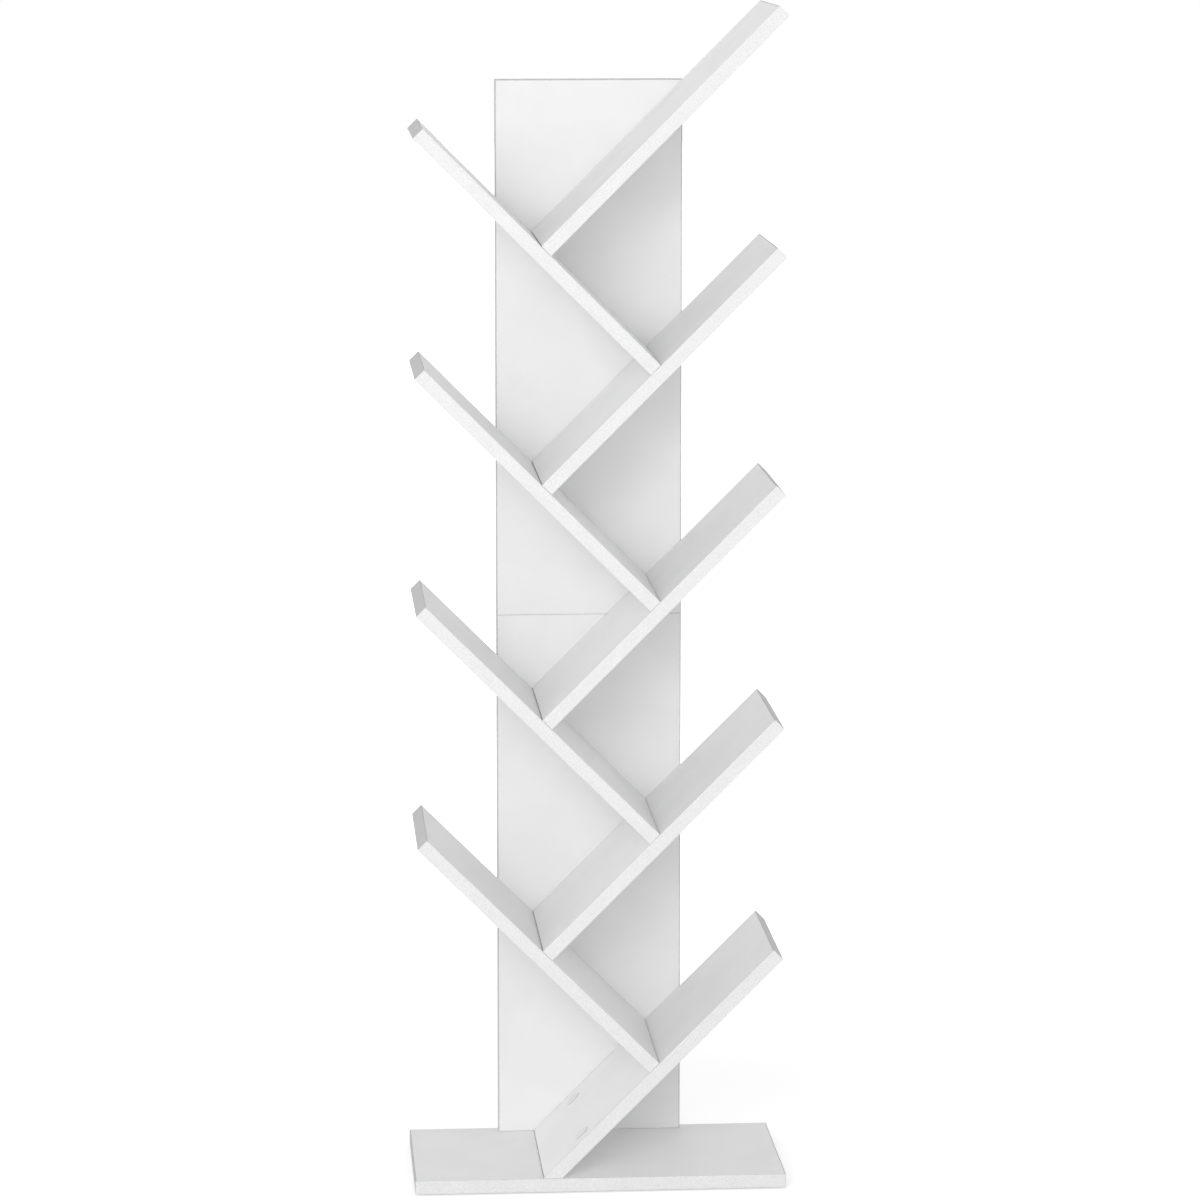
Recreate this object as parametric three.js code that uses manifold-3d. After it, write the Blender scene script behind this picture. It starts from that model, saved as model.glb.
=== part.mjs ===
// A free-standing bookshelf in the shape of a tree. Nine equal boards branch off to the right and
// to the left in turn. Each one stands square on the face of the board below it, the lowest one is
// mitred onto the base, and a tall back panel in two halves carries them all.
// Lengths are in millimetres. +X is to the right, +Y to the back and +Z up. The origin is on the
// floor, under the middle of the base.

import * as THREE from "three";
import { mergeVertices } from "three/addons/utils/BufferGeometryUtils.js";
import Module from "manifold-3d";

const wasm = await Module();
wasm.setup();

// Boards
const boardThickness = 16;
const baseWidth = 440;
const overallDepth = 225; // from the base's front edge to the back of the back panel
const shelfCount = 9;
const shelfLength = 386; // along a shelf's upper face, from its foot to its tip
const branchOffset = 69; // from the centre line to the inner corner of each V
const lean = Math.PI / 4; // of the right-hand shelves; the left-hand ones stand square on them
const panelWidth = 223;
const panelFastenerInset = 40; // from the back panel's sides to its foot screws and dowels

// Clearances
const fit = 0.3; // between a piece and its neighbour, in a joint or in a bore
const overrun = 1; // by which a bore's cutter passes the face that it opens in

// Screws for particle board, with a countersunk head and a hexagon socket
const screwLength = 50;
const threadRadius = 3.5; // the thread is plain, at its outer diameter
const pointLength = 6;
const pointRadius = 1.5;
const headRadius = 5;
const headRim = 0.8; // height of the straight rim above the head's cone
const headSink = 0.5; // from the board's face down to the top of the head
const socketRadius = 2.3; // to the corners of the hexagon
const socketDepth = 2.8;
const footFastenerInset = 27.5; // from a shelf's front and rear edges to the fasteners in its foot
const screwBeyondCam = 23; // along a shelf, from a cam's centre on to the panel's first screw

// Dowels between the halves of the back panel
const dowelRadius = 4;
const dowelLength = 30;

// Cam fittings that draw the mitred foot of the lowest shelf onto the base
const camReach = 67; // along the shelf, from its foot to a cam's centre
const camRadius = 7.5;
const camFloor = 3.5; // wood left between a cam's bore and the shelf's underside
const camSink = 0.5; // from the shelf's face down to the top of the cam
const camRecessRadius = 2.4;
const camRecessDepth = 2;
const boltRadius = 2.5;
const boltHeadRadius = 3.2;
const studRadius = 3; // of the bolt's lower end
const studDepth = 11; // of that end in the base
const coverRadius = 10;
const coverThickness = 0.8;
const coverPegRadius = 1.8;
const coverPegLength = 1.6; // below the top of the cam

// Glides under the base
const glideHeight = 2;
const glideRadius = 10;
const glideInset = 30; // from the base's edges to a glide's centre
const glideLip = 0.5; // chamfer round the foot of a glide
const glidePinRadius = 1.6;
const glidePinLength = 10;

// Facets of round pieces
const discSides = 24;
const rodSides = 12;
const hexagonSides = 6;
const ballRows = 6;

// Sizes that follow
const half = boardThickness / 2;
const baseTop = glideHeight + boardThickness;
const rear = overallDepth / 2;
const front = -overallDepth / 2;
const panelMiddle = rear - half;
const shelfRear = rear - boardThickness - fit;
const shelfDepth = shelfRear - front;
const shelfMiddle = (shelfRear + front) / 2;
const footFastenerSpread = shelfDepth / 2 - footFastenerInset;
const panelFastenerSpread = panelWidth / 2 - panelFastenerInset;
const headHeight = headRim + headRadius - threadRadius;

const whiteBoard = new THREE.MeshStandardMaterial({ color: 0xf0f0ee, roughness: 0.42, metalness: 0 });
const zincSteel = new THREE.MeshStandardMaterial({ color: 0xb9bcc0, roughness: 0.35, metalness: 1 });
const castZinc = new THREE.MeshStandardMaterial({ color: 0xa3a6a8, roughness: 0.5, metalness: 1 });
const whiteNylon = new THREE.MeshStandardMaterial({ color: 0xe6e7e5, roughness: 0.55, metalness: 0 });
const beech = new THREE.MeshStandardMaterial({ color: 0xd8b98c, roughness: 0.7, metalness: 0 });

// A closed solid from a geometry whose shared vertices are still apart.
function solidOf(geometry) {
  const bare = geometry.clone();
  bare.deleteAttribute("normal");
  bare.deleteAttribute("uv");
  const merged = mergeVertices(bare);
  return new wasm.Manifold(
    new wasm.Mesh({
      numProp: 3,
      vertProperties: merged.attributes.position.array,
      triVerts: new Uint32Array(merged.index.array),
    }),
  );
}

function geometryOf(solid) {
  const mesh = solid.getMesh();
  const points = new Float32Array(mesh.numVert * 3);
  for (let i = 0; i < mesh.numVert; i++) {
    const start = i * mesh.numProp;
    points.set(mesh.vertProperties.subarray(start, start + 3), i * 3);
  }
  const geometry = new THREE.BufferGeometry();
  geometry.setAttribute("position", new THREE.BufferAttribute(points, 3));
  geometry.setIndex(new THREE.BufferAttribute(mesh.triVerts, 1));
  const faceted = geometry.toNonIndexed();
  faceted.computeVertexNormals();
  return faceted;
}

// A turned geometry about +Y from [radius, height] pairs, listed upwards.
function turned(profile, sides) {
  const points = profile.map(([radius, height]) => new THREE.Vector2(radius, height));
  return new THREE.LatheGeometry(points, sides);
}

// A round bar along +Z between two heights.
function bar(radius, low, high, sides) {
  return new THREE.CylinderGeometry(radius, radius, high - low, sides)
    .rotateX(Math.PI / 2)
    .translate(0, 0, (low + high) / 2);
}

// A round bar from one point to another.
function barBetween(from, to, radius) {
  const run = to.clone().sub(from);
  const turn = new THREE.Quaternion();
  turn.setFromUnitVectors(new THREE.Vector3(0, 0, 1), run.clone().normalize());
  return bar(radius, 0, run.length(), rodSides).applyQuaternion(turn).translate(...from);
}

function ball(centre, radius) {
  return new THREE.SphereGeometry(radius, rodSides, ballRows).translate(...centre);
}

function joined(...geometries) {
  return geometries.map(solidOf).reduce((whole, next) => whole.add(next));
}

function piece(name, geometry, material, parent) {
  const mesh = new THREE.Mesh(geometry, material);
  mesh.name = name;
  parent.add(mesh);
  return mesh;
}

const tree = new THREE.Group();
const boardSolids = new Map();

function board(name, geometry, parent) {
  const mesh = piece(name, geometry, whiteBoard, parent);
  boardSolids.set(mesh, solidOf(geometry));
  return mesh;
}

// Takes the room for a fastener out of every board that the fastener passes through.
function bore(fastener, room, boards) {
  tree.updateMatrixWorld(true);
  for (const mesh of boards) {
    const toBoard = mesh.matrixWorld.clone().invert().multiply(fastener.matrixWorld);
    const cutter = solidOf(room.clone().applyMatrix4(toBoard));
    boardSolids.set(mesh, boardSolids.get(mesh).subtract(cutter));
  }
}

// A screw whose head's top is at height 0 and whose shank points down.
function makeScrewShape() {
  const outline = [
    [0, -screwLength],
    [pointRadius, -screwLength],
    [threadRadius, pointLength - screwLength],
    [threadRadius, -headHeight],
    [headRadius, -headRim],
    [headRadius, 0],
    [0, 0],
  ];
  const socket = new THREE.CylinderGeometry(socketRadius, socketRadius, socketDepth + overrun, hexagonSides);
  socket.translate(0, (overrun - socketDepth) / 2, 0);
  return geometryOf(solidOf(turned(outline, rodSides)).subtract(solidOf(socket)));
}

function makeScrewRoom() {
  const outline = [
    [0, -screwLength - fit],
    [threadRadius + fit, -screwLength - fit],
    [threadRadius + fit, -headHeight - fit],
    [headRadius + fit, -headRim - fit],
    [headRadius + fit, headSink + overrun],
    [0, headSink + overrun],
  ];
  return turned(outline, rodSides);
}

const screwShape = makeScrewShape();
const screwRoom = makeScrewRoom();

const shankForward = new THREE.Euler(0, 0, 0);
const shankAlongShelf = new THREE.Euler(0, 0, Math.PI / 2);
const shankUp = new THREE.Euler(-Math.PI / 2, 0, 0);

function screw(name, parent, place, turn, boards) {
  const mesh = piece(name, screwShape, zincSteel, parent);
  mesh.position.copy(place);
  mesh.rotation.copy(turn);
  bore(mesh, screwRoom, boards);
}

// Where the shelves stand. Each one starts at the corner where its upper face meets what it
// stands on, and the next one's corner lies as far to the other side of the centre line.
const direction = {
  right: new THREE.Vector3(Math.cos(lean), 0, Math.sin(lean)),
  left: new THREE.Vector3(-Math.sin(lean), 0, Math.cos(lean)),
};
const otherSide = { right: "left", left: "right" };

function shelfPlaces() {
  const places = [];
  const corner = new THREE.Vector3(-branchOffset, shelfMiddle, baseTop);
  let side = "right";
  for (let i = 0; i < shelfCount; i++) {
    const along = direction[side];
    const foot = corner.clone().addScaledVector(direction[otherSide[side]], -half);
    const nextCorner = (2 * branchOffset) / Math.abs(along.x);
    const panelEdge = ((Math.sign(along.x) * panelWidth) / 2 - foot.x) / along.x;
    places.push({
      name: `${side}_${Math.floor(i / 2) + 1}`,
      along,
      corner: corner.clone(),
      foot,
      turn: side === "right" ? -lean : -lean - Math.PI / 2,
      innerScrew: camReach + screwBeyondCam,
      outerScrew: (nextCorner - half + panelEdge) / 2,
    });
    corner.addScaledVector(along, nextCorner);
    side = otherSide[side];
  }
  return places;
}

const places = shelfPlaces();

// The back panel ends level with the point where the top shelf passes its side.
function panelTopHeight() {
  const top = places[shelfCount - 1];
  const run = (panelWidth / 2 + branchOffset) / Math.abs(top.along.x);
  return top.corner.z + run * top.along.z;
}

const panelSeam = (baseTop + panelTopHeight()) / 2;

function makeBase() {
  const base = board("base_board", new THREE.BoxGeometry(baseWidth, overallDepth, boardThickness), tree);
  base.position.z = glideHeight + half;
  return base;
}

function makePanel(name, bottom) {
  const height = panelSeam - baseTop - fit;
  const panel = board(name, new THREE.BoxGeometry(panelWidth, boardThickness, height), tree);
  panel.position.set(0, panelMiddle, bottom + height / 2);
  return panel;
}

// A shelf lies along +X from its foot with its middle at height 0, and is then turned to its lean.
function makeShelf(place, mitred) {
  const footAtTop = mitred ? fit / Math.sin(lean) : fit;
  const footAtBottom = mitred ? footAtTop + boardThickness / Math.tan(lean) : fit;
  const outline = new THREE.Shape([
    new THREE.Vector2(footAtBottom, -half),
    new THREE.Vector2(shelfLength, -half),
    new THREE.Vector2(shelfLength, half),
    new THREE.Vector2(footAtTop, half),
  ]);
  const geometry = new THREE.ExtrudeGeometry(outline, { depth: shelfDepth, bevelEnabled: false });
  geometry.rotateX(Math.PI / 2).translate(0, shelfDepth / 2, 0);
  const branch = new THREE.Group();
  branch.position.copy(place.foot);
  branch.rotation.y = place.turn;
  tree.add(branch);
  return board(`shelf_${place.name}`, geometry, branch);
}

const base = makeBase();
const lowerPanel = makePanel("back_panel_lower", baseTop + fit);
const upperPanel = makePanel("back_panel_upper", panelSeam + fit);
const shelves = places.map((place, i) => makeShelf(place, i === 0));

// Two screws from behind hold each shelf on the back panel.
function fixToPanel(place, shelf) {
  const reaches = { inner: place.innerScrew, outer: place.outerScrew };
  for (const [word, reach] of Object.entries(reaches)) {
    const spot = new THREE.Vector3(reach, rear - headSink - shelfMiddle, 0);
    const height = place.foot.z + reach * place.along.z;
    const panel = height < panelSeam ? lowerPanel : upperPanel;
    screw(`panel_screw_${place.name}_${word}`, shelf.parent, spot, shankForward, [panel, shelf]);
  }
}

// Two screws through the board below hold each higher shelf by its foot.
function fixFoot(place, shelf, below) {
  const offsets = { front: -footFastenerSpread, rear: footFastenerSpread };
  for (const [word, y] of Object.entries(offsets)) {
    const spot = new THREE.Vector3(headSink - boardThickness, y, 0);
    screw(`joint_screw_${place.name}_${word}`, shelf.parent, spot, shankAlongShelf, [below, shelf]);
  }
}

// Two screws from below hold the back panel on the base.
function fixPanelFoot() {
  const offsets = { left: -panelFastenerSpread, right: panelFastenerSpread };
  for (const [word, x] of Object.entries(offsets)) {
    const spot = new THREE.Vector3(x, panelMiddle, glideHeight + headSink);
    screw(`panel_foot_screw_${word}`, tree, spot, shankUp, [base, lowerPanel]);
  }
}

// Two dowels line up the halves of the back panel.
function pinPanelHalves() {
  const end = dowelLength / 2;
  const shape = bar(dowelRadius, -end, end, rodSides);
  const room = bar(dowelRadius + fit, -end - fit, end + fit, rodSides);
  const offsets = { left: -panelFastenerSpread, right: panelFastenerSpread };
  for (const [word, x] of Object.entries(offsets)) {
    const dowel = piece(`panel_dowel_${word}`, shape, beech, tree);
    dowel.position.set(x, panelMiddle, panelSeam + fit / 2);
    bore(dowel, room, [lowerPanel, upperPanel]);
  }
}

// The bent bolt of a cam fitting, larger all round by grow. Its ball lies in the cam, it runs down
// the middle of the shelf to the mitre, and there it turns straight down into the base.
function camBolt(grow) {
  const cam = new THREE.Vector3(camReach, 0, 0);
  const bend = new THREE.Vector3(half / Math.tan(lean), 0, 0);
  const down = new THREE.Vector3(-Math.sin(lean), 0, -Math.cos(lean));
  const end = bend.clone().addScaledVector(down, studDepth + grow);
  return geometryOf(
    joined(
      ball(cam, boltHeadRadius + grow),
      barBetween(cam, bend, boltRadius + grow),
      ball(bend, studRadius + grow),
      barBetween(bend, end, studRadius + grow),
    ),
  );
}

// The cam's housing, about its own centre line, with a recess on top and the bolt's way in.
function makeCamShape(camTop) {
  const boltRoom = joined(
    ball(new THREE.Vector3(), boltHeadRadius + fit),
    barBetween(new THREE.Vector3(), new THREE.Vector3(-camRadius - overrun, 0, 0), boltRadius + fit),
  );
  const recess = bar(camRecessRadius, camTop - camRecessDepth, camTop + overrun, rodSides);
  const housing = bar(camRadius, camFloor + fit - half, camTop, discSides);
  return geometryOf(solidOf(housing).subtract(solidOf(recess)).subtract(boltRoom));
}

function makeCoverShape(camTop) {
  const plateBottom = half + fit;
  const plate = bar(coverRadius, plateBottom, plateBottom + coverThickness, discSides);
  const peg = bar(coverPegRadius, camTop - coverPegLength, plateBottom + coverThickness / 2, rodSides);
  return geometryOf(joined(plate, peg));
}

// Two cam fittings, each with a snap-on cover, hold the lowest shelf on the base.
function fixMitredFoot(shelf) {
  const camTop = half - camSink;
  const camShape = makeCamShape(camTop);
  const camRoom = bar(camRadius + fit, camFloor - half, half + overrun, discSides);
  const coverShape = makeCoverShape(camTop);
  const boltShape = camBolt(0);
  const boltRoom = camBolt(fit);
  const offsets = { front: -footFastenerSpread, rear: footFastenerSpread };
  for (const [word, y] of Object.entries(offsets)) {
    const bolt = piece(`cam_bolt_${word}`, boltShape, zincSteel, shelf.parent);
    bolt.position.y = y;
    bore(bolt, boltRoom, [shelf, base]);
    const cam = piece(`cam_${word}`, camShape, castZinc, shelf.parent);
    cam.position.set(camReach, y, 0);
    bore(cam, camRoom, [shelf]);
    const cover = piece(`cam_cover_${word}`, coverShape, whiteNylon, shelf.parent);
    cover.position.set(camReach, y, 0);
  }
}

// A glide stands on the floor and is held by its pin in the base's underside.
function makeGlides() {
  const outline = [
    [0, 0],
    [glideRadius - glideLip, 0],
    [glideRadius, glideLip],
    [glideRadius, glideHeight],
    [0, glideHeight],
  ];
  const foot = turned(outline, discSides).rotateX(Math.PI / 2);
  const pinTop = glideHeight + glidePinLength;
  const shape = geometryOf(joined(foot, bar(glidePinRadius, glideHeight / 2, pinTop, rodSides)));
  const room = bar(glidePinRadius + fit, glideHeight - overrun, pinTop + fit, rodSides);
  const across = { left: glideInset - baseWidth / 2, right: baseWidth / 2 - glideInset };
  const back = { front: front + glideInset, rear: rear - glideInset };
  for (const [side, x] of Object.entries(across)) {
    for (const [end, y] of Object.entries(back)) {
      const glide = piece(`glide_${end}_${side}`, shape, whiteNylon, tree);
      glide.position.set(x, y, 0);
      bore(glide, room, [base]);
    }
  }
}

shelves.forEach((shelf, i) => fixToPanel(places[i], shelf));
shelves.slice(1).forEach((shelf, i) => fixFoot(places[i + 1], shelf, shelves[i]));
fixPanelFoot();
pinPanelHalves();
fixMitredFoot(shelves[0]);
makeGlides();

for (const [mesh, solid] of boardSolids) {
  mesh.geometry = geometryOf(solid);
}

export default tree;
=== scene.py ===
"""Finishes a tree-shaped bookshelf: banded melamine boards, their fittings, and a studio."""

import math

import bmesh
import bpy
from mathutils import Matrix, Vector


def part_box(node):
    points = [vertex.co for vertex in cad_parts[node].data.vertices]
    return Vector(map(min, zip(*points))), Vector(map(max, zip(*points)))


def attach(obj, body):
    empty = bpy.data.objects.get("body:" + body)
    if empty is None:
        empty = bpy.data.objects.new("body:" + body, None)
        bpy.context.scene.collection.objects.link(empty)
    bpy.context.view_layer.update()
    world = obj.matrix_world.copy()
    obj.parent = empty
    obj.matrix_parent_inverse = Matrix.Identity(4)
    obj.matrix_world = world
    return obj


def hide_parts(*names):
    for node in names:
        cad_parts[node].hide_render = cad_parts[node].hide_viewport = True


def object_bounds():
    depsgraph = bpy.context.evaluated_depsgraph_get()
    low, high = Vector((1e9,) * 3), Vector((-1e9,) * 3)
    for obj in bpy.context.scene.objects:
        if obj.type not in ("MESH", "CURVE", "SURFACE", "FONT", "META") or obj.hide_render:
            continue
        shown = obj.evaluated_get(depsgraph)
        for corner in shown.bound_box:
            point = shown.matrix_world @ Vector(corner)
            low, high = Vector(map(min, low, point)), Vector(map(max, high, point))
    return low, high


bl_info = {
    "name": "Tree Bookshelf",
    "version": (1, 0, 0),
    "blender": (4, 5, 0),
    "location": "View3D > Sidebar > Bookshelf",
    "description": "Finishes the boards and fittings of a tree-shaped bookshelf and lights them",
    "category": "Add Mesh",
}

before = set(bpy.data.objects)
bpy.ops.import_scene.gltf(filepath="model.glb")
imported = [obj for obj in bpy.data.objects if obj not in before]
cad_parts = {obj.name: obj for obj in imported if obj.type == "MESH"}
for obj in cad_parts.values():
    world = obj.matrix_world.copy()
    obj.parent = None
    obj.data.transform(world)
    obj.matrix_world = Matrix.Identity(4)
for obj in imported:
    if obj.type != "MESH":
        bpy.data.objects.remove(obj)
cad_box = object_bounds()

X, Y, Z = Vector((1, 0, 0)), Vector((0, 1, 0)), Vector((0, 0, 1))
LEAN = math.radians(45)
UP_RIGHT = Vector((math.cos(LEAN), 0, math.sin(LEAN)))
UP_LEFT = Vector((-math.sin(LEAN), 0, math.cos(LEAN)))
MM = 0.001
WELD = 0.001 * MM  # points nearer to each other than this are one
ON_SIDE = 0.01 * MM  # a point nearer to a side than this lies on it
SAME_WAY = 0.999  # cosine of the angle between directions that count as one
FLAT = math.radians(0.2)  # faces that meet at less than this are one face


# Settings


class BoardSettings(bpy.types.PropertyGroup):
    """Sizes and colours of the melamine-faced boards."""

    bl_label = "Boards"

    band_thickness: bpy.props.FloatProperty(
        name="Edge band", description="Thickness of the strip glued on an edge",
        default=0.8 * MM, min=0.3 * MM, max=3 * MM, unit="LENGTH",
    )
    glue_line: bpy.props.FloatProperty(
        name="Glue line", description="Width of the seam between the band and the board's face",
        default=0.28 * MM, min=0.05 * MM, max=0.5 * MM, unit="LENGTH",
    )
    rim_radius: bpy.props.FloatProperty(
        name="Rim radius", description="Rounding of the band's rims",
        default=0.45 * MM, min=0.1 * MM, max=2 * MM, unit="LENGTH",
    )
    rim_segments: bpy.props.IntProperty(
        name="Rim segments", description="Facets across a rounded rim", default=3, min=1, max=8,
    )
    # A shelf's foot carries a dark strip and dark rounded rims: painted shade of the joint where it
    # meets the next board.
    foot_shade_line: bpy.props.FloatProperty(
        name="Foot shade line", description="Width of the dark line of painted shade along a shelf's sawn foot",
        default=0.9 * MM, min=0.5 * MM, max=3 * MM, unit="LENGTH",
    )
    mitre_shade_line: bpy.props.FloatProperty(
        name="Mitre shade line", description="Width of the dark line of painted shade along a shelf's mitred foot",
        default=1.5 * MM, min=0.5 * MM, max=3 * MM, unit="LENGTH",
    )
    wear_width: bpy.props.FloatProperty(
        name="Wear width", description="How far handling wear reaches in from an edge",
        default=2.5 * MM, min=0.0, max=20 * MM, unit="LENGTH",
    )
    face_colour: bpy.props.FloatVectorProperty(
        name="Face", description="Colour of the melamine face", subtype="COLOR", size=3,
        default=(0.869, 0.871, 0.869), min=0, max=1,
    )
    face_shade: bpy.props.FloatVectorProperty(
        name="Face shade", description="Colour of the faint clouds in the face", subtype="COLOR",
        size=3, default=(0.849, 0.851, 0.85), min=0, max=1,
    )
    # The panel's two colours are the shelves' melamine made about 4% darker: painted shade on the
    # back panel.
    panel_colour_painted_shade: bpy.props.FloatVectorProperty(
        name="Panel", description="Colour of the back panel's face", subtype="COLOR", size=3,
        default=(0.835, 0.837, 0.835), min=0, max=1,
    )
    panel_clouds_painted_shade: bpy.props.FloatVectorProperty(
        name="Panel shade", description="Colour of the faint clouds in the back panel's face",
        subtype="COLOR", size=3, default=(0.815, 0.817, 0.816), min=0, max=1,
    )
    band_colour: bpy.props.FloatVectorProperty(
        name="Front band", description="Colour of the glossy edge band on fronts and backs",
        subtype="COLOR", size=3, default=(0.835, 0.838, 0.835), min=0, max=1,
    )
    # The end band is darker than the front band: painted shade on the boards' ends and the panel's
    # sides.
    end_shade_colour: bpy.props.FloatVectorProperty(
        name="End band", description="Colour of the band darkened as painted shade on ends and panel sides",
        subtype="COLOR", size=3, default=(0.615, 0.617, 0.613), min=0, max=1,
    )
    # The glue colour also paints the shade along each shelf's foot.
    glue_and_shade_colour: bpy.props.FloatVectorProperty(
        name="Glue", description="Colour of the glue line", subtype="COLOR", size=3,
        default=(0.19, 0.19, 0.187), min=0, max=1,
    )
    worn_colour: bpy.props.FloatVectorProperty(
        name="Worn edge", description="Colour that handling leaves along the edges",
        subtype="COLOR", size=3, default=(0.69, 0.695, 0.69), min=0, max=1,
    )
    chip_light: bpy.props.FloatVectorProperty(
        name="Pale chips", description="Colour of the core's pale chips", subtype="COLOR", size=3,
        default=(0.50, 0.39, 0.27), min=0, max=1,
    )
    chip_dark: bpy.props.FloatVectorProperty(
        name="Dark chips", description="Colour of the core's dark chips", subtype="COLOR", size=3,
        default=(0.25, 0.18, 0.115), min=0, max=1,
    )


class FittingSettings(bpy.types.PropertyGroup):
    """Sizes and colours of the screws, cams, covers, dowels and glides."""

    bl_label = "Fittings"

    round_steps: bpy.props.IntProperty(
        name="Round steps", description="Facets round a turned piece", default=48, min=12, max=96,
    )
    thread_pitch: bpy.props.FloatProperty(
        name="Pitch", description="Rise of the screw thread in one turn", default=3 * MM,
        min=1 * MM, max=6 * MM, unit="LENGTH",
    )
    thread_turns: bpy.props.IntProperty(
        name="Thread turns", description="Turns of the thread", default=11, min=1, max=30,
    )
    core_radius: bpy.props.FloatProperty(
        name="Core radius", description="Radius of the screw between the threads",
        default=2.45 * MM, min=1 * MM, max=5 * MM, unit="LENGTH",
    )
    flute_count: bpy.props.IntProperty(
        name="Flutes", description="Glue flutes round a dowel", default=20, min=6, max=40,
    )
    flute_depth: bpy.props.FloatProperty(
        name="Flute depth", description="Depth of a dowel's flutes", default=0.35 * MM, min=0,
        max=1 * MM, unit="LENGTH",
    )
    soft_rim: bpy.props.FloatProperty(
        name="Soft rim", description="Rounding on the edges of cast and moulded fittings",
        default=0.25 * MM, min=0.05 * MM, max=1 * MM, unit="LENGTH",
    )
    zinc_colour: bpy.props.FloatVectorProperty(
        name="Zinc plating", description="Colour of the plated screws and bolts", subtype="COLOR",
        size=3, default=(0.54, 0.56, 0.59), min=0, max=1,
    )
    zinc_shade: bpy.props.FloatVectorProperty(
        name="Zinc crystals", description="Colour of the darkest crystals in the plating",
        subtype="COLOR", size=3, default=(0.40, 0.42, 0.45), min=0, max=1,
    )
    cast_colour: bpy.props.FloatVectorProperty(
        name="Cast zinc", description="Colour of the cams", subtype="COLOR", size=3,
        default=(0.42, 0.43, 0.44), min=0, max=1,
    )
    cast_shade: bpy.props.FloatVectorProperty(
        name="Cast crystals", description="Colour of the darkest crystals in the cams",
        subtype="COLOR", size=3, default=(0.26, 0.27, 0.28), min=0, max=1,
    )
    nylon_colour: bpy.props.FloatVectorProperty(
        name="Nylon", description="Colour of the covers and glides", subtype="COLOR", size=3,
        default=(0.80, 0.81, 0.80), min=0, max=1,
    )
    beech_colour: bpy.props.FloatVectorProperty(
        name="Beech", description="Colour of the dowels", subtype="COLOR", size=3,
        default=(0.66, 0.46, 0.27), min=0, max=1,
    )
    beech_grain: bpy.props.FloatVectorProperty(
        name="Beech grain", description="Colour of the dowels' grain", subtype="COLOR", size=3,
        default=(0.48, 0.30, 0.16), min=0, max=1,
    )


class StudioSettings(bpy.types.PropertyGroup):
    """The camera, the lamps and the floor."""

    bl_label = "Studio"

    camera_place: bpy.props.FloatVectorProperty(
        name="Camera", description="Place of the camera", subtype="TRANSLATION", unit="LENGTH",
        size=3, default=(-0.3769, -5.3464, 1.5633),
    )
    camera_pitch: bpy.props.FloatProperty(
        name="Pitch", description="How far the camera looks down", default=0.16094,
        subtype="ANGLE", unit="ROTATION",
    )
    camera_yaw: bpy.props.FloatProperty(
        name="Yaw", description="How far the camera turns from straight ahead",
        default=-0.07159, subtype="ANGLE", unit="ROTATION",
    )
    lens: bpy.props.FloatProperty(
        name="Lens", description="Focal length in millimetres", default=137.466, min=10,
    )
    sensor: bpy.props.FloatProperty(
        name="Sensor", description="Width of the camera's sensor in millimetres", default=36.0,
        min=1,
    )
    horizon: bpy.props.FloatProperty(
        name="Horizon", description="Strength of the sky's light at the horizon", default=1.22,
        min=0,
    )
    zenith: bpy.props.FloatProperty(
        name="Zenith", description="Strength of the sky's light overhead", default=0.4, min=0,
    )
    front_power: bpy.props.FloatProperty(
        name="Front lamp", description="Power of the lamp near the camera in watts",
        default=19.0, min=0,
    )
    left_power: bpy.props.FloatProperty(
        name="Left lamp", description="Power of the lamp to the left of the camera in watts",
        default=75.0, min=0,
    )
    front_place: bpy.props.FloatVectorProperty(
        name="Front lamp's place", description="Place of the lamp near the camera",
        subtype="TRANSLATION", unit="LENGTH", size=3, default=(-0.4, -5.2, 1.4),
    )
    left_place: bpy.props.FloatVectorProperty(
        name="Left lamp's place", description="Place of the lamp to the left of the camera",
        subtype="TRANSLATION", unit="LENGTH", size=3, default=(-1.6, -4.8, 2.4),
    )
    lamp_size: bpy.props.FloatProperty(
        name="Lamp size", description="Width of each lamp", default=2.0, min=0.1, unit="LENGTH",
    )
    floor_colour: bpy.props.FloatVectorProperty(
        name="Floor", description="Colour of the floor", subtype="COLOR", size=3,
        default=(0.7, 0.7, 0.7), min=0, max=1,
    )
    floor_glow: bpy.props.FloatProperty(
        name="Floor glow", description="What the camera sees of the floor beside its own light",
        default=0.5, min=0, max=1,
    )


# Shader nodes

WAVE_HEIGHT = 1.5  # of a skin's slow waves, where its grain is 1 high


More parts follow.
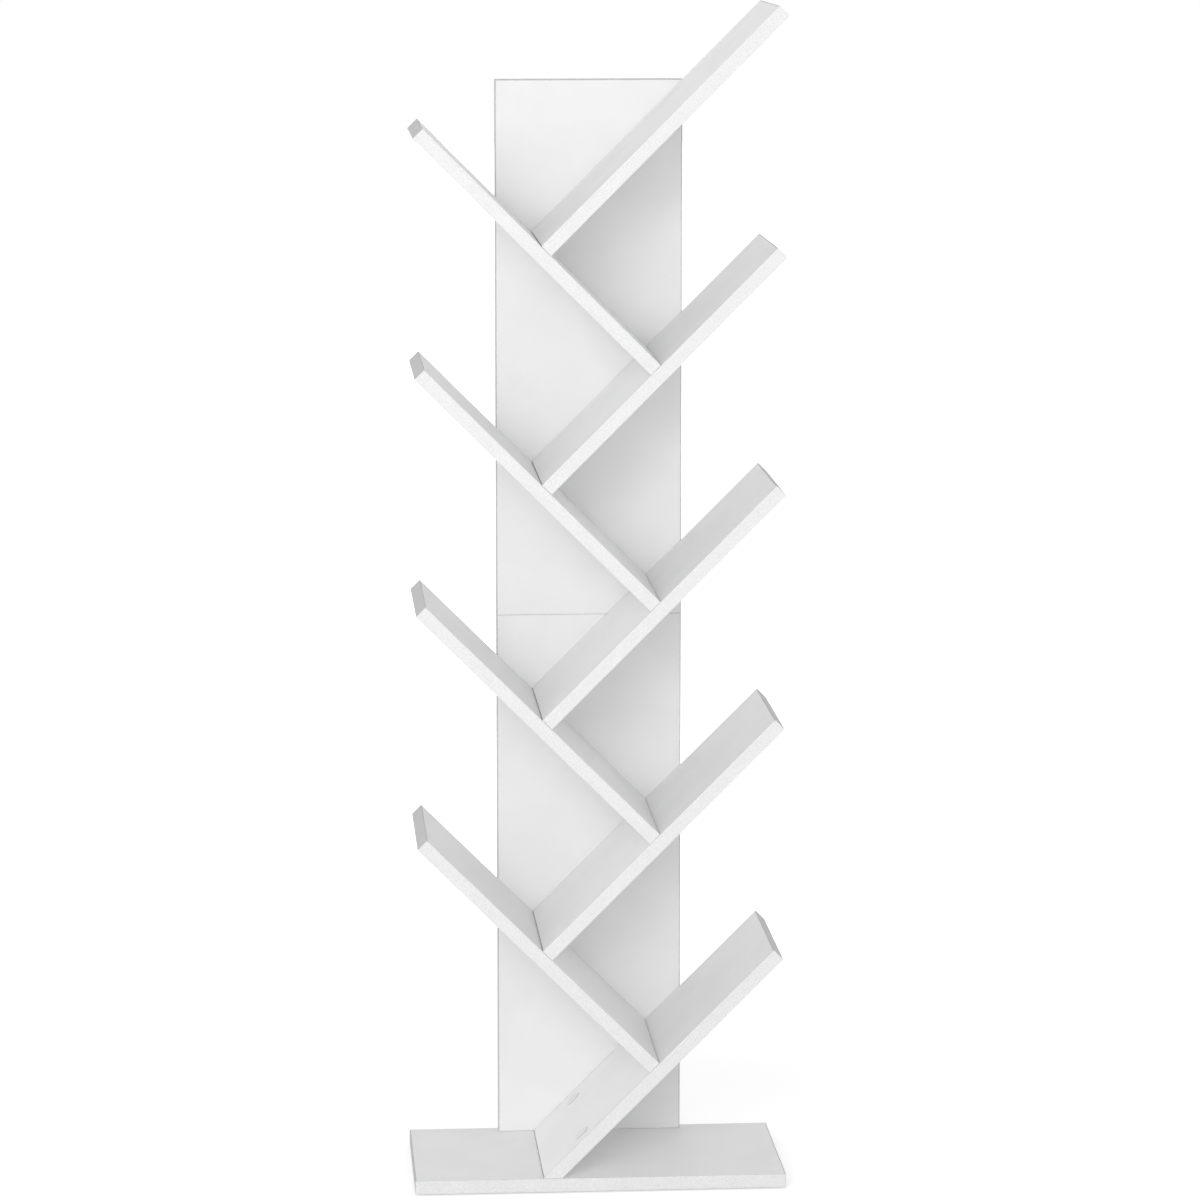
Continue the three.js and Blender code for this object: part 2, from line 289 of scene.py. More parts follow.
class Nodes:
    """Adds nodes to one node tree and links them."""

    def __init__(self, tree):
        self.tree = tree
        tree.nodes.clear()

    def put(self, value, socket):
        """Links a value that is a socket to an input. Any other becomes the input's default."""
        if isinstance(value, bpy.types.NodeSocket):
            self.tree.links.new(value, socket)
        else:
            socket.default_value = value

    def add(self, kind, values=None, **settings):
        """One node with its settings and the values of its inputs."""
        node = self.tree.nodes.new(kind)
        for name, setting in settings.items():
            setattr(node, name, setting)
        for key, value in (values or {}).items():
            self.put(value, node.inputs[key])
        return node

    def math(self, operation, *values):
        """The result of a Math node."""
        return self.add("ShaderNodeMath", dict(enumerate(values)), operation=operation).outputs[0]

    def vector(self, operation, *values):
        """The result of a Vector Math node."""
        values = dict(enumerate(values))
        return self.add("ShaderNodeVectorMath", values, operation=operation).outputs[0]

    def parts(self, vector):
        """The three numbers of a vector."""
        return self.add("ShaderNodeSeparateXYZ", {0: vector}).outputs

    def stretched(self, vector, scale):
        """A place with each of its directions scaled, so that a pattern on it runs one way."""
        return self.add("ShaderNodeMapping", {"Vector": vector, "Scale": scale}).outputs[0]

    def noise(self, vector, scale, detail=2.0, roughness=0.5):
        """The grey of a Noise Texture."""
        values = {"Vector": vector, "Scale": scale, "Detail": detail, "Roughness": roughness}
        return self.add("ShaderNodeTexNoise", values).outputs[0]

    def cells(self, vector, scale):
        """The cells of a Voronoi Texture: each cell's own grey, and how far its middle is."""
        outputs = self.add("ShaderNodeTexVoronoi", {"Vector": vector, "Scale": scale}).outputs
        grey = self.add("ShaderNodeSeparateColor", {"Color": outputs["Color"]}).outputs[0]
        return grey, outputs["Distance"]

    def ramp(self, value, first, last, to_first=0.0, to_last=1.0):
        """The value carried smoothly from one range to another."""
        values = {
            "Value": value, "From Min": first, "From Max": last,
            "To Min": to_first, "To Max": to_last,
        }
        node = self.add("ShaderNodeMapRange", values, interpolation_type="SMOOTHSTEP")
        return node.outputs["Result"]

    def spread(self, noise, low=0.0, high=1.0):
        """A noise's grey, which is seldom far from the middle, spread over a whole range."""
        return self.ramp(noise, 0.3, 0.7, low, high)

    def mix(self, factor, first, second):
        """A colour between two colours."""
        node = self.add("ShaderNodeMix", data_type="RGBA")
        sockets = {s.identifier: s for s in (*node.inputs, *node.outputs)}
        self.put(factor, sockets["Factor_Float"])
        self.put(opaque(first), sockets["A_Color"])
        self.put(opaque(second), sockets["B_Color"])
        return sockets["Result_Color"]

    def group(self, name, values):
        """A shader group placed in this tree."""
        tree = bpy.data.node_groups[name]
        return self.add("ShaderNodeGroup", values, node_tree=tree).outputs


def opaque(colour):
    """A colour with an alpha of 1. A socket passes unchanged."""
    return colour if isinstance(colour, bpy.types.NodeSocket) else (*colour[:3], 1.0)


def scaled(colour, factor):
    """A paler or darker colour."""
    return [channel * factor for channel in colour]


def new_group(name, vectors, numbers, output):
    """A shader group with named inputs: its nodes' helper, what it is given, and its output."""
    tree = bpy.data.node_groups.new(name, "ShaderNodeTree")
    for label in vectors:
        tree.interface.new_socket(label, in_out="INPUT", socket_type="NodeSocketVector")
    for label in numbers:
        tree.interface.new_socket(label, in_out="INPUT", socket_type="NodeSocketFloat")
    tree.interface.new_socket(output, in_out="OUTPUT", socket_type="NodeSocketFloat")
    nodes = Nodes(tree)
    return nodes, nodes.add("NodeGroupInput").outputs, nodes.add("NodeGroupOutput").inputs[output]


def make_edge_wear_group():
    """Wear: up to 1 in patches along a board's edges, and 0 away from them."""
    nodes, given, result = new_group("edge_wear", ["Place", "Extent"], ["Width", "Breakup"], "Wear")
    out_from_middle = nodes.vector("ABSOLUTE", given["Place"])
    x, y, z = nodes.parts(nodes.vector("SUBTRACT", given["Extent"], out_from_middle))
    # The middle one of the distances to three sides is the distance to the nearest edge
    most = nodes.math("MAXIMUM", x, nodes.math("MAXIMUM", y, z))
    least = nodes.math("MINIMUM", x, nodes.math("MINIMUM", y, z))
    whole = nodes.math("ADD", x, nodes.math("ADD", y, z))
    to_edge = nodes.math("SUBTRACT", nodes.math("SUBTRACT", whole, most), least)
    fade = nodes.math("DIVIDE", to_edge, given["Width"])
    near = nodes.ramp(fade, 0.0, 1.0, to_first=1.0, to_last=0.0)
    patches = nodes.noise(given["Place"], given["Breakup"], detail=4.0)
    broken = nodes.ramp(patches, 0.42, 0.62, to_first=0.15)
    nodes.put(nodes.math("MULTIPLY", near, broken), result)


def make_stipple_group():
    """Height: the fine grained skin of a pressed or moulded surface, and its slow waves."""
    nodes, given, result = new_group("stipple", ["Vector"], ["Grain", "Waves"], "Height")
    grain = nodes.noise(given["Vector"], given["Grain"], detail=1.0)
    waves = nodes.noise(given["Vector"], given["Waves"], detail=1.0)
    nodes.put(nodes.math("MULTIPLY_ADD", waves, WAVE_HEIGHT, grain), result)


def make_mottle_group():
    """Cloud: slow clouds of tone, from 0 to 1."""
    nodes, given, result = new_group("mottle", ["Vector"], ["Scale"], "Cloud")
    clouds = nodes.noise(given["Vector"], given["Scale"], detail=5.0, roughness=0.6)
    nodes.put(nodes.spread(clouds), result)


def new_material(name):
    """A new material: its nodes' helper, its shader and the coordinates of its piece."""
    material = bpy.data.materials.new(name)
    material.use_nodes = True
    nodes = Nodes(material.node_tree)
    shader = nodes.add("ShaderNodeBsdfPrincipled")
    nodes.add("ShaderNodeOutputMaterial", {"Surface": shader.outputs[0]})
    return nodes, shader, nodes.add("ShaderNodeTexCoord").outputs["Object"]


def own_axes(nodes):
    """Where a point is along its board's own axes, and the board's half sizes."""
    place = nodes.add("ShaderNodeAttribute", attribute_name="place").outputs["Vector"]
    extent = nodes.add("ShaderNodeAttribute", attribute_name="extent").outputs["Vector"]
    return place, extent


def feed(nodes, shader, colour, roughness, height, depth, specular=0.5):
    """Gives a shader its colour, its roughness, a bump of some depth and how much it mirrors."""
    bump = nodes.add("ShaderNodeBump", {"Height": height, "Distance": depth})
    shader.inputs["Specular IOR Level"].default_value = specular
    nodes.put(colour, shader.inputs["Base Color"])
    nodes.put(roughness, shader.inputs["Roughness"])
    nodes.put(bump.outputs["Normal"], shader.inputs["Normal"])


def make_melamine(name, colour, shade, boards):
    """The pressed white face of a board: faint clouds, a fine pearl skin and worn edges."""
    nodes, shader, _ = new_material(name)
    place, extent = own_axes(nodes)
    cloud = nodes.group("mottle", {"Vector": place, "Scale": 14.0})["Cloud"]
    wear = nodes.group("edge_wear", {
        "Place": place, "Extent": extent, "Width": boards.wear_width, "Breakup": 160.0,
    })["Wear"]
    skin = nodes.group("stipple", {"Vector": place, "Grain": 900.0, "Waves": 160.0})["Height"]
    clouded = nodes.mix(cloud, colour, shade)
    tone = nodes.mix(nodes.math("MULTIPLY", wear, 0.35), clouded, boards.worn_colour)
    dull = nodes.math("MULTIPLY_ADD", wear, 0.12, nodes.ramp(cloud, 0.0, 1.0, 0.45, 0.53))
    feed(nodes, shader, tone, dull, skin, depth=0.04 * MM, specular=0.35)


def make_edge_band(name, colour, boards, gloss, speckle):
    """The strip on an edge: drawn lines along it, fine specks and its worn rims."""
    nodes, shader, _ = new_material(name)
    place, extent = own_axes(nodes)
    lines = nodes.noise(nodes.stretched(place, (0.06, 1.0, 1.0)), scale=700.0)
    cloud = nodes.group("mottle", {"Vector": place, "Scale": 30.0})["Cloud"]
    wear = nodes.group("edge_wear", {
        "Place": place, "Extent": extent, "Width": boards.wear_width, "Breakup": 90.0,
    })["Wear"]
    skin = nodes.group("stipple", {"Vector": place, "Grain": 600.0, "Waves": 120.0})["Height"]
    specks = nodes.ramp(nodes.noise(place, scale=850.0, detail=1.0), 0.35, 0.65, to_last=speckle)
    pale, dark = scaled(colour, 1.03), scaled(colour, 0.84)
    worn = nodes.mix(nodes.math("MULTIPLY", wear, 0.25), nodes.mix(cloud, colour, pale), dark)
    tone = nodes.mix(specks, worn, dark)
    rough = nodes.spread(lines, 0.8 - gloss, 0.88 - gloss)
    relief = nodes.math("ADD", skin, lines)
    feed(nodes, shader, tone, rough, relief, depth=0.05 * MM, specular=gloss)


def make_glue_line(boards):
    """The hairline of glue and cut face between a band and the board, and the painted shade along a
    shelf's foot.
    """
    nodes, shader, _ = new_material("glue_line")
    place, _ = own_axes(nodes)
    smear = nodes.noise(place, scale=220.0, detail=4.0)
    covered = nodes.ramp(smear, 0.4, 0.7, to_last=0.5)
    tone = nodes.mix(covered, boards.glue_and_shade_colour, boards.band_colour)
    feed(nodes, shader, tone, nodes.spread(smear, 0.6, 0.85), smear, depth=0.05 * MM)


def make_chipboard(boards):
    """The pressed wood chips inside a board, seen in bores and on edges with no band."""
    nodes, shader, _ = new_material("chipboard_core")
    place, _ = own_axes(nodes)
    shade, relief = nodes.cells(nodes.stretched(place, (1.0, 1.0, 2.6)), scale=420.0)
    tone = nodes.mix(shade, boards.chip_dark, boards.chip_light)
    rough = nodes.ramp(shade, 0.0, 1.0, 0.8, 0.95)
    feed(nodes, shader, tone, rough, relief, depth=0.3 * MM)


def make_plated(name, colour, darkest, grain, roughness):
    """Metal with a faint crystalline bloom over fine scratches."""
    nodes, shader, place = new_material(name)
    shader.inputs["Metallic"].default_value = 1.0
    bloom, _ = nodes.cells(place, grain)
    scratches = nodes.noise(place, grain * 4, detail=3.0)
    tone = nodes.mix(nodes.math("MULTIPLY", bloom, 0.35), colour, darkest)
    worn = nodes.spread(scratches, roughness, roughness + 0.14)
    rough = nodes.math("MULTIPLY_ADD", bloom, 0.06, worn)
    feed(nodes, shader, tone, rough, scratches, depth=0.02 * MM)


def make_nylon(fittings):
    """Moulded white plastic with a fine spark-eroded skin."""
    nodes, shader, place = new_material("white_nylon")
    cloud = nodes.group("mottle", {"Vector": place, "Scale": 90.0})["Cloud"]
    skin = nodes.group("stipple", {"Vector": place, "Grain": 2200.0, "Waves": 300.0})["Height"]
    tone = nodes.mix(cloud, fittings.nylon_colour, scaled(fittings.nylon_colour, 0.94))
    rough = nodes.ramp(cloud, 0.0, 1.0, 0.48, 0.56)
    feed(nodes, shader, tone, rough, skin, depth=0.04 * MM)


def make_beech(fittings):
    """Beech with its grain along the dowel and short dark flecks."""
    nodes, shader, place = new_material("beech")
    along = nodes.stretched(place, (1.0, 1.0, 0.08))
    grain = nodes.noise(along, scale=900.0, detail=4.0)
    flecks = nodes.ramp(nodes.noise(along, scale=2400.0, detail=1.0), 0.6, 0.75, to_last=0.6)
    grained = nodes.mix(nodes.spread(grain, high=0.7), fittings.beech_colour, fittings.beech_grain)
    tone = nodes.mix(flecks, grained, fittings.beech_grain)
    feed(nodes, shader, tone, nodes.spread(grain, 0.6, 0.75), grain, depth=0.1 * MM)


# Meshes


def required(start):
    """The names of the CAD nodes that start so. It is an error if there are none."""
    names = sorted(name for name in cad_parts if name.startswith(start))
    if not names:
        raise RuntimeError(f"the packed model has no node that starts with {start}")
    return names


def add_object(name, data):
    """An object in the scene at the origin."""
    new = bpy.data.objects.new(name, data)
    bpy.context.scene.collection.objects.link(new)
    return new


def finish_piece(mesh, name, materials, replaced):
    """Makes a piece from a bmesh. It stands for a CAD node and rides on the one body."""
    data = bpy.data.meshes.new(name)
    mesh.to_mesh(data)
    mesh.free()
    if "custom_normal" in data.attributes:
        data.attributes.remove(data.attributes["custom_normal"])
    for material in materials:
        data.materials.append(bpy.data.materials[material])
    piece = add_object(name, data)
    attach(piece, "root")
    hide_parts(replaced)
    return piece


def merged_copy(node):
    """A bmesh of a CAD node, its loose triangles merged and its flat faces whole."""
    mesh = bmesh.new()
    mesh.from_mesh(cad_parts[node].data)
    bmesh.ops.remove_doubles(mesh, verts=mesh.verts, dist=WELD)
    bmesh.ops.dissolve_limit(mesh, angle_limit=FLAT, verts=mesh.verts, edges=mesh.edges)
    return mesh


def shade_smooth(piece, crease):
    """Smooth shading that breaks where faces meet at more than an angle."""
    piece.data.shade_smooth()
    piece.data.set_sharp_from_angle(angle=crease)


def shelf_side(name):
    """The direction in which a shelf, or a fastener in its foot, runs."""
    return UP_RIGHT if "_right_" in name else UP_LEFT


def axes_from(along, up):
    """A rotation that carries X to along and Z to up."""
    return Matrix((along, up.cross(along), up)).transposed()


def board_axes(name):
    """A board's own axes: X along it, Z square to its face."""
    if name.startswith("shelf"):
        along = shelf_side(name)
        return axes_from(along, UP_LEFT if along is UP_RIGHT else UP_RIGHT)
    if name.startswith("back_panel"):
        return axes_from(Z, -Y)
    return axes_from(X, Z)


# Boards

FACE, BAND, PAINTED_SHADE_END_BAND, GLUE_AND_SHADE_LINE, CORE = range(5)  # places of a board's finishes, as in make_board
BORE_CUTS = 3  # cuts in each edge of a bore's coarse mouth
BENT = math.radians(1)  # faces that meet at more than this have a real edge between them
FOOTWARD = -0.5  # how far towards its foot a face of a shelf looks, square or mitred


class Board:
    """A copy of a CAD board, with what is needed to find its sides."""

    def __init__(self, name, settings):
        self.banded = banded_sides(name)
        self.rough_foot = name.startswith("shelf")
        mitred = name == "shelf_right_1"
        # chips is the width of the painted shade strip along the foot, wider at the mitre.
        self.chips = settings.mitre_shade_line if mitred else settings.foot_shade_line
        self.mesh = merged_copy(name)
        turn = board_axes(name)
        points = [turn.transposed() @ v.co for v in self.mesh.verts]
        low = Vector(min(p[i] for p in points) for i in range(3))
        high = Vector(max(p[i] for p in points) for i in range(3))
        self.extent = (high - low) / 2
        self.own = Matrix.Translation(turn @ ((low + high) / 2)) @ turn.to_4x4()
        self.to_own = self.own.inverted()

    def sides(self, vert):
        """The outer sides that a vertex lies on, as (axis, sign) pairs."""
        place = self.to_own @ vert.co
        return {
            (i, 1 if place[i] > 0 else -1)
            for i in range(3)
            if abs(abs(place[i]) - self.extent[i]) < ON_SIDE
        }

    def shared_sides(self, edge):
        """The outer sides that a whole edge lies on."""
        return self.sides(edge.verts[0]) & self.sides(edge.verts[1])

    def bore_mouths(self):
        """The rings of edges where bores open in the board's faces."""
        loose = dict.fromkeys(
            edge for edge in self.mesh.edges
            if self.shared_sides(edge) & {(2, 1), (2, -1)}
            and edge.calc_length() < 2 * self.extent.z and edge.calc_face_angle(0) > BENT
        )
        rings = []
        while loose:
            ring = [loose.popitem()[0]]
            for edge in ring:
                near = {e: True for v in edge.verts for e in v.link_edges if e in loose}
                ring += near
                for e in near:
                    del loose[e]
            rings.append(ring)
        return rings

    def round_bores(self, cuts):
        """Rounds the regular mouths of the bores, which are coarse polygons in the CAD solid."""
        for ring in self.bore_mouths():
            verts = dict.fromkeys(v for e in ring for v in e.verts)
            centre = sum((v.co for v in verts), Vector()) / len(verts)
            reaches = [(v.co - centre).length for v in verts]
            if max(reaches) - min(reaches) > ON_SIDE:
                continue
            made = bmesh.ops.subdivide_edges(self.mesh, edges=ring, cuts=cuts)["geom_inner"]
            for vert in made:
                if isinstance(vert, bmesh.types.BMVert):
                    out = vert.co - centre
                    vert.co = centre + out * (max(reaches) / out.length)

    def on_sawn_foot(self, edge):
        """Whether an edge is where a face of a shelf meets its foot, square or mitred."""
        turn = self.to_own.to_3x3()
        normals = [turn @ face.normal for face in edge.link_faces]
        flat = [n for n in normals if abs(n.z) > SAME_WAY]
        foot = [n for n in normals if n.x < FOOTWARD]
        return edge.calc_length() > self.extent.y and len(flat) == len(foot) == 1

    def round_rims(self, radius, segments):
        """Rounds the edges between banded sides and faces, and the rims of a shelf's foot."""
        soft = {*self.banded, (2, 1), (2, -1)}
        rims = []
        for edge in self.mesh.edges:
            sides = self.shared_sides(edge)
            sawn = self.rough_foot and self.on_sawn_foot(edge)
            if sawn or (len(sides) > 1 and sides <= soft):
                rims.append(edge)
        bmesh.ops.bevel(
            self.mesh, geom=rims, offset=radius, offset_type="OFFSET", affect="EDGES",
            segments=segments, profile=0.5, material=-1, clamp_overlap=True,
        )

    def cut(self, axis, sign, inset):
        """Cuts the faces along a plane at a distance inside one of the sides."""
        normal = Vector((0, 0, 0))
        normal[axis] = sign
        point = normal * (self.extent[axis] - inset)
        geometry = [*self.mesh.verts, *self.mesh.edges, *self.mesh.faces]
        bmesh.ops.bisect_plane(
            self.mesh, geom=geometry, dist=WELD / 10, plane_co=self.own @ point,
            plane_no=self.own.to_3x3() @ normal,
        )

    def measure(self):
        """Writes each vertex's place along the board's own axes, for the materials."""
        place = self.mesh.verts.layers.float_vector.new("place")
        extent = self.mesh.verts.layers.float_vector.new("extent")
        for vert in self.mesh.verts:
            vert[place] = self.to_own @ vert.co
            vert[extent] = self.extent


def banded_sides(name):
    """The sides of a board that carry an edge band, as (axis, sign) pairs."""
    along, across = 0, 1
    sides = [(across, -1), (across, 1)]
    if name != "back_panel_lower":
        sides.append((along, 1))
    if name == "base_board":
        sides.append((along, -1))
    return sides


def layer_of(board, face, settings):
    """Which of the board's layers a face shows: melamine, a band, a dark line (glue along bands,
    painted shade along a shelf's foot) or the core.
    """
    place = board.to_own @ face.calc_center_median()
    normal = board.to_own.to_3x3() @ face.normal
    inset = [board.extent[i] - abs(place[i]) for i in range(3)]
    if min(inset) > settings.rim_radius:
        return CORE
    to_band, axis = min((inset[i], i) for i, sign in board.banded if sign * place[i] >= 0)
    if to_band < settings.band_thickness:
        faces_front = abs(board.own.col[axis].y) > SAME_WAY
        # Ends and the panel's sides take the darker band, which is painted shade.
        return BAND if faces_front else PAINTED_SHADE_END_BAND
    # Slanted faces near a face, such as a shelf's rounded foot rims, take the dark line; at the
    # foot it is painted shade of the joint.
    if abs(normal.z) < SAME_WAY:
        return GLUE_AND_SHADE_LINE if inset[2] < settings.rim_radius else CORE
    if to_band < settings.band_thickness + settings.glue_line:
        return GLUE_AND_SHADE_LINE
    # A strip along a shelf's foot takes the dark line: painted shade of the joint.
    if board.rough_foot and place.x < board.chips - board.extent.x:
        return GLUE_AND_SHADE_LINE
    return FACE


def make_board(name, settings, melamine):
    """A board with rounded, banded edges, its glue lines, painted shade along a shelf's foot and
    the bores of its CAD node.
    """
    board = Board(name, settings)
    board.round_bores(BORE_CUTS)
    board.round_rims(settings.rim_radius, settings.rim_segments)
    for axis, sign in board.banded:
        board.cut(axis, sign, settings.band_thickness)
        board.cut(axis, sign, settings.band_thickness + settings.glue_line)
    # Splits off the strip along a shelf's foot that carries painted shade.
    if board.rough_foot:
        board.cut(0, -1, board.chips)
    board.measure()
    board.mesh.normal_update()
    for face in board.mesh.faces:
        face.material_index = layer_of(board, face, settings)
    # The glue_line material also carries the painted shade along a shelf's foot.
    layers = [melamine, "front_band", "end_band_painted_shade", "glue_line", "chipboard_core"]
    finish_piece(board.mesh, f"{name}_dressed", layers, name)


# Fittings

SCREW_LENGTH = 50 * MM
SHANK_LENGTH = 12 * MM
SHANK_RADIUS = 3.5 * MM
POINT_LENGTH = 6 * MM
POINT_RADIUS = 1.5 * MM
HEAD_RADIUS = 5 * MM
HEAD_RIM = 0.8 * MM
SOCKET_RADIUS = 2.3 * MM
SOCKET_DEPTH = 2.8 * MM
THREAD_FOOT = 0.3  # half the width of the thread's foot, as a share of its pitch
THREAD_DEPTH = 0.1 * MM  # how deep the thread's foot lies in the screw's core
THREAD_END = 0.05  # height of the thread where it fades out, as a share of its full height
GOLDEN_ANGLE = math.radians(137.5)
COVER_RADIUS = 10 * MM
COVER_HEIGHT = 0.8 * MM
COVER_DOME = 0.5 * MM  # rise from the rim to the middle
STEM_RADIUS = 1.8 * MM
STEM_LENGTH = 3.2 * MM
GLIDE_RADIUS = 10 * MM
GLIDE_HEIGHT = 2 * MM
GLIDE_ROUNDING = 0.5 * MM  # height of the rounded rim that touches the floor
PIN_RADIUS = 1.6 * MM
PIN_TOP = 12 * MM
PIN_TAPER = 1.2 * MM
DOWEL_TAPER = 1.2 * MM
DOWEL_END = 0.82  # radius of a dowel's ends, as a share of its full radius
SCREW_CREASE = math.radians(28)  # faces that meet at more than this keep a sharp edge
COVER_CREASE = math.radians(40)
CREASE = math.radians(35)
RIM_ANGLE = math.radians(50)  # rims sharper than this are softened
RIM_SEGMENTS = 2


def spun(outline, steps):
    """A closed turned shape about Z from (radius, height) pairs that start and end on the axis."""
    mesh = bmesh.new()
    verts = [mesh.verts.new((radius, 0, height)) for radius, height in outline]
    edges = [mesh.edges.new(pair) for pair in zip(verts, verts[1:])]
    bmesh.ops.spin(
        mesh, geom=[*verts, *edges], cent=(0, 0, 0), axis=(0, 0, 1), dvec=(0, 0, 0),
        angle=math.tau, steps=steps, use_merge=True, use_duplicate=False,
    )
    bmesh.ops.remove_doubles(mesh, verts=mesh.verts, dist=WELD)
    bmesh.ops.recalc_face_normals(mesh, faces=mesh.faces)
    return mesh


def top_rim(node, up):
    """The centre of a turned CAD node's end face, the one that lies farthest up."""
    points = [v.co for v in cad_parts[node].data.vertices]
    top = max(p.dot(up) for p in points)
    rim = {tuple(round(c / WELD) for c in p) for p in points if top - p.dot(up) < ON_SIDE}
    return sum((Vector(p) for p in rim), Vector()) * WELD / len(rim)


def standing(node, up):
    """A placement with its origin in a turned CAD node's end face and Z along up."""
    turn = Z.rotation_difference(up).to_matrix()
    return Matrix.Translation(top_rim(node, up)) @ turn.to_4x4()


def underneath(node):
    """A placement with its origin in the middle of a CAD node's underside."""
    low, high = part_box(node)
    return Matrix.Translation(((low.x + high.x) / 2, (low.y + high.y) / 2, low.z))


def place_copies(pattern, placements, material, crease):
    """Puts a copy of a mesh in place of each CAD node and lets the mesh itself go."""
    for node, placement in placements.items():
        mesh = pattern.copy()
        mesh.transform(placement)
        shade_smooth(finish_piece(mesh, f"{node}_dressed", [material], node), crease)
    pattern.free()


def make_hexagonal(mesh, radius):
    """Moves the rings of one radius onto a hexagon with its corners at that radius."""
    corner = math.tau / 6
    for vert in mesh.verts:
        if abs(vert.co.xy.length - radius) < ON_SIDE:
            angle = math.atan2(vert.co.y, vert.co.x) % corner
            vert.co.xy *= math.cos(corner / 2) / math.cos(angle - corner / 2)


def add_thread(mesh, fittings, low):
    """A closed ridge that winds up round the screw's core and fades in and out."""
    steps = fittings.round_steps // 3
    pitch, turns, core = fittings.thread_pitch, fittings.thread_turns, fittings.core_radius
    root, foot = core - THREAD_DEPTH, pitch * THREAD_FOOT
    profile = [(root, low - foot), (SHANK_RADIUS, low), (root, low + foot)]
    verts = [mesh.verts.new((radius, 0, height)) for radius, height in profile]
    edges = [mesh.edges.new((verts[i], verts[i - 1])) for i in range(3)]
    before = set(mesh.verts) - set(verts)
    bmesh.ops.spin(
        mesh, geom=[*verts, *edges], cent=(0, 0, 0), axis=(0, 0, 1),
        dvec=(0, 0, pitch / steps), angle=math.tau * turns, steps=steps * turns,
        use_merge=False, use_duplicate=False,
    )
    bmesh.ops.holes_fill(mesh, edges=[e for e in mesh.edges if e.is_boundary], sides=3)
    high = low + pitch * turns
    for vert in mesh.verts:
        reach = vert.co.xy.length
        if vert not in before and reach > core:
            fade = min(1, (vert.co.z - low) / pitch, (high - vert.co.z) / pitch)
            vert.co.xy *= (root + (reach - root) * max(fade, THREAD_END)) / reach


def make_screw_mesh(fittings):
    """A chipboard screw with its head's top at height 0, a hexagon socket and a coarse thread."""
    core, rim = fittings.core_radius, 0.2 * MM
    head_height = HEAD_RIM + HEAD_RADIUS - SHANK_RADIUS
    thread_low = -SCREW_LENGTH + POINT_LENGTH
    mesh = spun([
        (0, -SCREW_LENGTH),
        (POINT_RADIUS - rim, -SCREW_LENGTH),
        (POINT_RADIUS, -SCREW_LENGTH + rim),
        (core, thread_low),
        (core, -SHANK_LENGTH - (SHANK_RADIUS - core)),
        (SHANK_RADIUS, -SHANK_LENGTH),
        (SHANK_RADIUS, -head_height - rim),
        (SHANK_RADIUS + rim, -head_height + rim),
        (HEAD_RADIUS, -HEAD_RIM),
        (HEAD_RADIUS, -rim),
        (HEAD_RADIUS - rim / 3, -rim / 3),
        (HEAD_RADIUS - rim, 0),
        (SOCKET_RADIUS + 2 * rim, 0),
        (SOCKET_RADIUS, -rim),
        (SOCKET_RADIUS, -SOCKET_DEPTH),
        (0, -SOCKET_DEPTH - 2 * rim),
    ], fittings.round_steps)
    make_hexagonal(mesh, SOCKET_RADIUS)
    add_thread(mesh, fittings, thread_low)
    bmesh.ops.recalc_face_normals(mesh, faces=mesh.faces)
    return mesh


def make_screws(start, up_of, fittings):
    """Screws in place of the CAD nodes that start so, each with its socket turned another way."""
    placements = {}
    for i, node in enumerate(required(start)):
        turn = Matrix.Rotation(i * GOLDEN_ANGLE, 4, "Z")
        placements[node] = standing(node, up_of(node)) @ turn
    place_copies(make_screw_mesh(fittings), placements, "zinc_plate", SCREW_CREASE)


def make_covers(fittings):
    """The domed caps that close the two cams."""
    rim = 0.2 * MM
    pattern = spun([
        (0, -STEM_LENGTH),
        (STEM_RADIUS - rim, -STEM_LENGTH),
        (STEM_RADIUS, rim - STEM_LENGTH),
        (STEM_RADIUS, -COVER_HEIGHT),
        (COVER_RADIUS - 1.5 * rim, -COVER_HEIGHT),
        (COVER_RADIUS, -COVER_HEIGHT + 0.75 * rim),
        (COVER_RADIUS, -COVER_DOME),
        (COVER_RADIUS - rim, -COVER_DOME / 2),
        (COVER_RADIUS - 3 * rim, -COVER_DOME / 5),
        (COVER_RADIUS - 6 * rim, -COVER_DOME * 0.06),
        (0, 0),
    ], fittings.round_steps)
    placements = {node: standing(node, UP_LEFT) for node in required("cam_cover")}
    place_copies(pattern, placements, "white_nylon", COVER_CREASE)


def make_glides(fittings):
    """Nail-in glides with a rounded foot under the base."""
    rim = 0.2 * MM
    pattern = spun([
        (0, 0),
        (GLIDE_RADIUS - 1.6 * GLIDE_ROUNDING, 0),
        (GLIDE_RADIUS - 0.6 * GLIDE_ROUNDING, GLIDE_ROUNDING * 0.24),
        (GLIDE_RADIUS, GLIDE_ROUNDING),
        (GLIDE_RADIUS, GLIDE_HEIGHT - rim),
        (GLIDE_RADIUS - rim, GLIDE_HEIGHT),
        (PIN_RADIUS, GLIDE_HEIGHT),
        (PIN_RADIUS, PIN_TOP - PIN_TAPER),
        (PIN_RADIUS / 2, PIN_TOP),
        (0, PIN_TOP),
    ], fittings.round_steps)
    placements = {node: underneath(node) for node in required("glide")}
    place_copies(pattern, placements, "white_nylon", CREASE)


